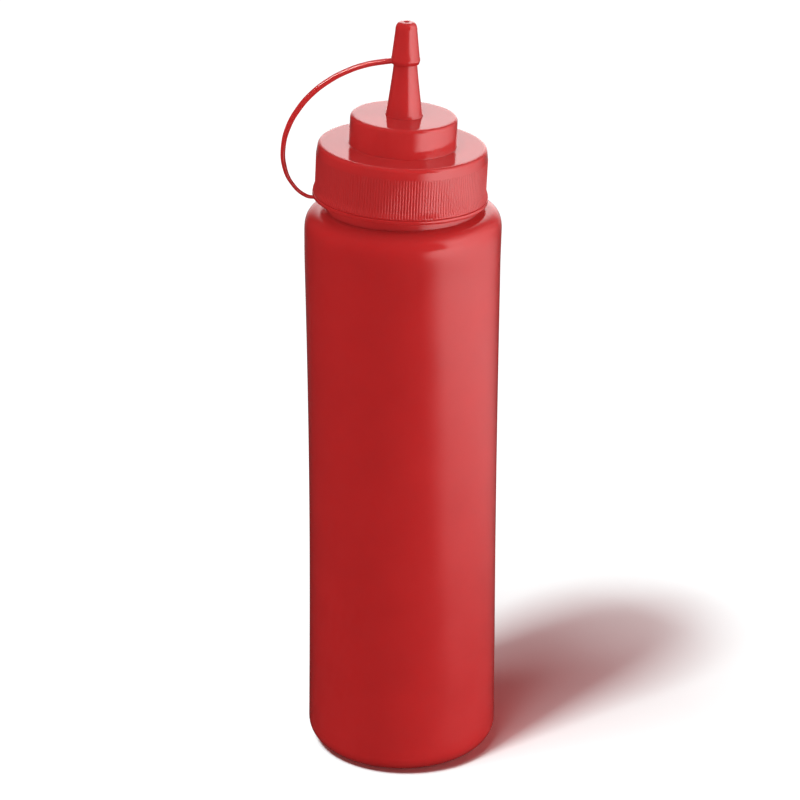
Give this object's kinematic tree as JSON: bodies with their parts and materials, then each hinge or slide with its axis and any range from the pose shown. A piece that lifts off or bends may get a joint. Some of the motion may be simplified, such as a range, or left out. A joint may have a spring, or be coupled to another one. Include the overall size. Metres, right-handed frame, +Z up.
{
  "type": "squeeze bottle",
  "caption": "Slim waisted squeeze bottle for sauces, with a ribbed screw cap, stepped top, tapered nozzle and a tip cap held by a curved strap.",
  "frame": {"origin": "centre of the flat base, on the surface the bottle stands on", "axes": "+Z up along the bottle's axis; +X towards the viewer's right, away from the strap; -Y towards the viewer of the picture"},
  "size_m": [0.0775, 0.07, 0.2771],
  "materials": {
    "body_plastic": "satin red polyethylene, softly shining, faintly uneven",
    "cap_plastic": "glossy red moulded polyethylene or polypropylene"
  },
  "bodies": {
    "root": {"bottle": "body_plastic", "cap": "cap_plastic", "tip_cap": "cap_plastic"}
  },
  "joints": []
}
